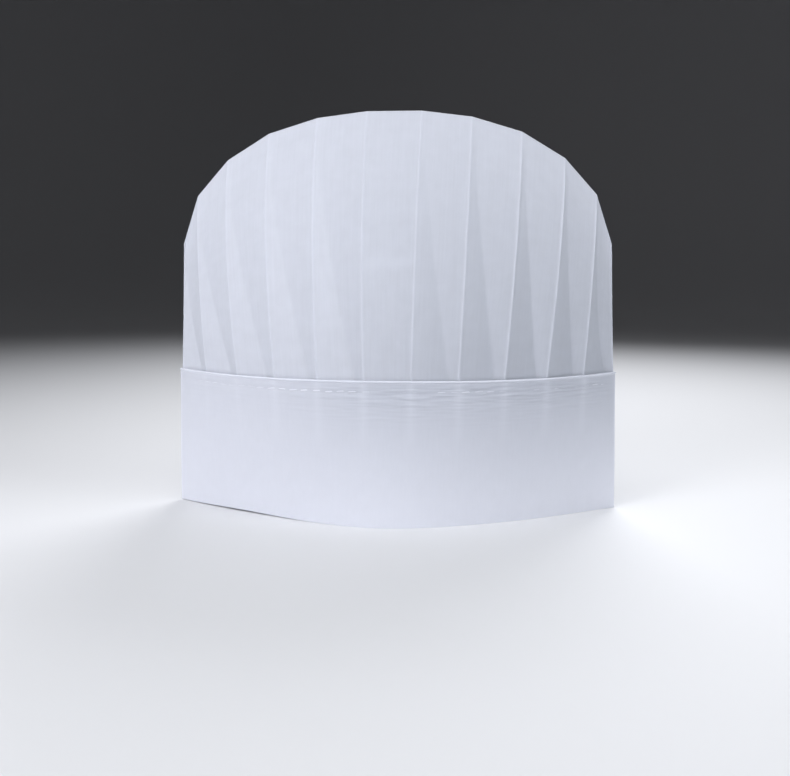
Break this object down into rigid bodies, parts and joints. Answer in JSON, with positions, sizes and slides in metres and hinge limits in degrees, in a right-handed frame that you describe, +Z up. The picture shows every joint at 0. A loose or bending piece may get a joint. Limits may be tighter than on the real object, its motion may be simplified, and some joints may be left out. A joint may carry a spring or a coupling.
{
  "type": "disposable chef hat",
  "caption": "Disposable pleated chef hat of white non-woven cloth: a pleated crown folded over an arched ridge, on a tall plain headband that stands on its lower edge.",
  "frame": {"origin": "on the resting plane, under the middle of the hat's bounding box", "axes": "+Z up out of the headband, -Y towards the front of the hat, +X towards the wearer's left"},
  "size_m": [0.271, 0.1164, 0.2386],
  "materials": {
    "band_cloth": "matte white non-woven cloth, doubled, with a folded upper edge",
    "crown_cloth": "thin matte white non-woven cloth, slightly translucent, pleated"
  },
  "bodies": {
    "root": {"headband": "band_cloth", "crown": "crown_cloth"}
  },
  "joints": []
}
